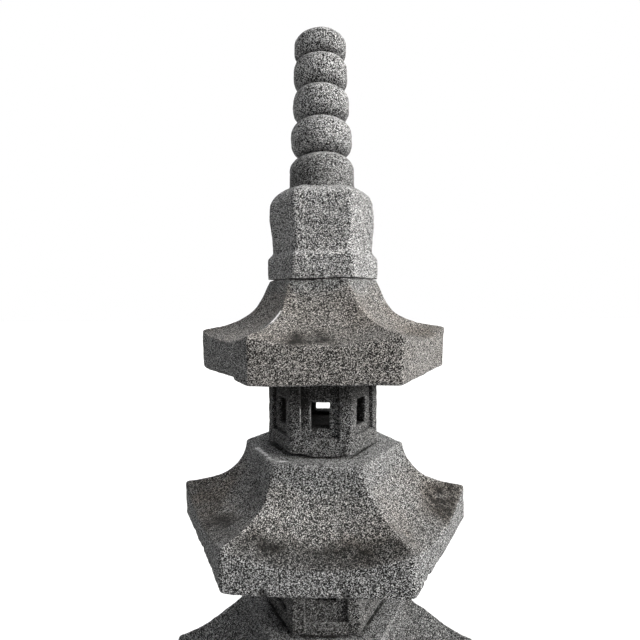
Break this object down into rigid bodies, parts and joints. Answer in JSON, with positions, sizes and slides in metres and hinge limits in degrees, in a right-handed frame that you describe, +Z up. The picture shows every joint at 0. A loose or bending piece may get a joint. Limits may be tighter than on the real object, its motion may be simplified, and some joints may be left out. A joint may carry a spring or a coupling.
{
  "type": "stone lantern",
  "caption": "Six-sided pagoda garden lantern of dry-stacked carved stone: flared roofs, windowed light chambers, a ringed spire.",
  "frame": {"origin": "on the ground, at the centre of the base stone's underside", "axes": "+Z up along the stack; -Y is the front, towards which one flat side of every stone faces; +X to the right seen from the front"},
  "size_m": [0.6358, 0.5578, 1.6808],
  "materials": {
    "grey_stone": "rough-tooled salt-and-pepper andesite",
    "dark_stone": "rough-tooled andesite, darker and sooty",
    "warm_stone": "rough-tooled andesite with brown weathering",
    "pale_stone": "rough-tooled andesite, paler"
  },
  "bodies": {
    "base_stone": {"base_stone": "grey_stone"},
    "chamber_3": {"chamber_3": "dark_stone"},
    "roof_3": {"roof_3": "grey_stone"},
    "chamber_2": {"chamber_2": "dark_stone"},
    "roof_2": {"roof_2": "warm_stone"},
    "chamber_1": {"chamber_1": "dark_stone"},
    "roof_1": {"roof_1": "warm_stone"},
    "finial": {"finial": "pale_stone"}
  },
  "joints": [
    {"name": "chamber_3_lift", "type": "slide", "parent": "base_stone", "child": "chamber_3", "axis": [0, 0, 1], "range_m": [0, 0.06]},
    {"name": "roof_3_lift", "type": "slide", "parent": "chamber_3", "child": "roof_3", "axis": [0, 0, 1], "range_m": [0, 0.16]},
    {"name": "chamber_2_lift", "type": "slide", "parent": "roof_3", "child": "chamber_2", "axis": [0, 0, 1], "range_m": [0, 0.06]},
    {"name": "roof_2_lift", "type": "slide", "parent": "chamber_2", "child": "roof_2", "axis": [0, 0, 1], "range_m": [0, 0.16]},
    {"name": "chamber_1_lift", "type": "slide", "parent": "roof_2", "child": "chamber_1", "axis": [0, 0, 1], "range_m": [0, 0.06]},
    {"name": "roof_1_lift", "type": "slide", "parent": "chamber_1", "child": "roof_1", "axis": [0, 0, 1], "range_m": [0, 0.16]},
    {"name": "finial_lift", "type": "slide", "parent": "roof_1", "child": "finial", "axis": [0, 0, 1], "range_m": [0, 0.08]}
  ]
}
